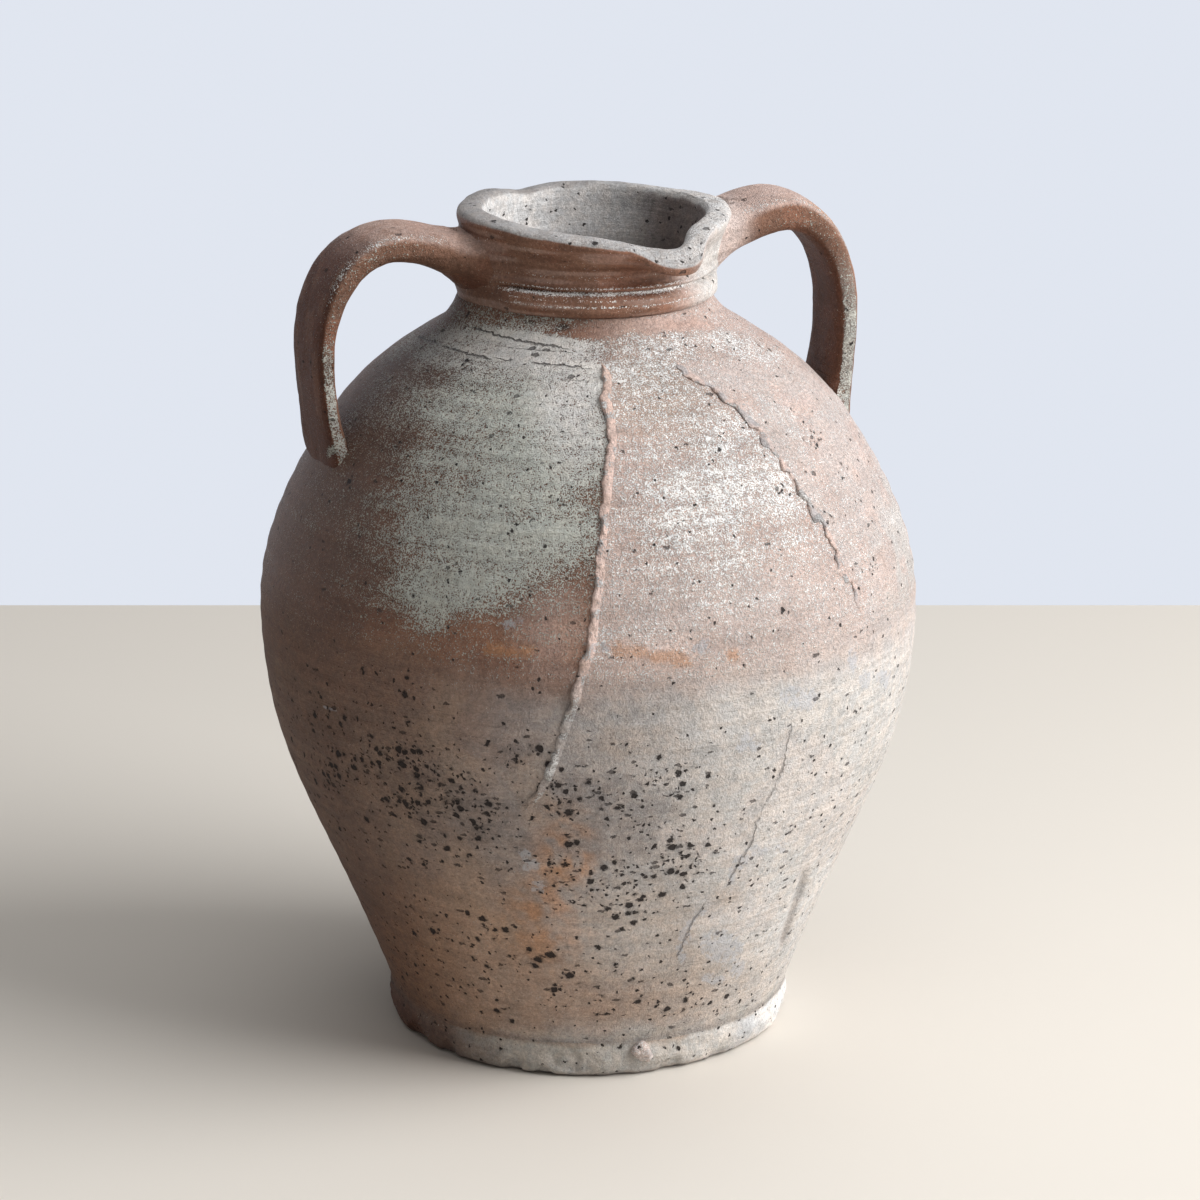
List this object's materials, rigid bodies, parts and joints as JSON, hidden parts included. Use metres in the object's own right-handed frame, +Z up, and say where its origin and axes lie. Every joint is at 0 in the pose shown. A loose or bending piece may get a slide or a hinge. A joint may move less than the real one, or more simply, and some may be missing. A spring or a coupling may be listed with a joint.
{
  "type": "olive jar",
  "caption": "Round-bellied stoneware olive jar with strap handles from collar to shoulder, a banded neck, a pinched pouring lip and a narrow flat foot.",
  "frame": {"origin": "centre of the flat base, on the surface the jar stands on", "axes": "+Z up along the jar's axis, +X towards the right-hand handle, -Y towards the side of the spout"},
  "size_m": [0.2916, 0.2916, 0.371],
  "materials": {
    "belly_stoneware": "satin salt glaze, speckled grey-green to brown, pitted",
    "collar_stoneware": "satin red-brown salt glaze with pale flecks",
    "lip_stoneware": "worn pale grey glaze with dark pits",
    "foot_stoneware": "dry, chipped grey-brown stoneware",
    "run_glaze": "raised glaze with a satin sheen",
    "kiln_clay": "dry, rough kiln clay"
  },
  "bodies": {
    "root": {"base_slab": "foot_stoneware", "lower_wall": "belly_stoneware", "upper_wall": "belly_stoneware", "neck_collar": "collar_stoneware", "neck_cordon": "collar_stoneware", "pouring_lip": "lip_stoneware", "left_handle": "collar_stoneware", "right_handle": "collar_stoneware", "front_glaze_run": "run_glaze", "right_glaze_run": "run_glaze", "stuck_wad": "kiln_clay"}
  },
  "joints": []
}
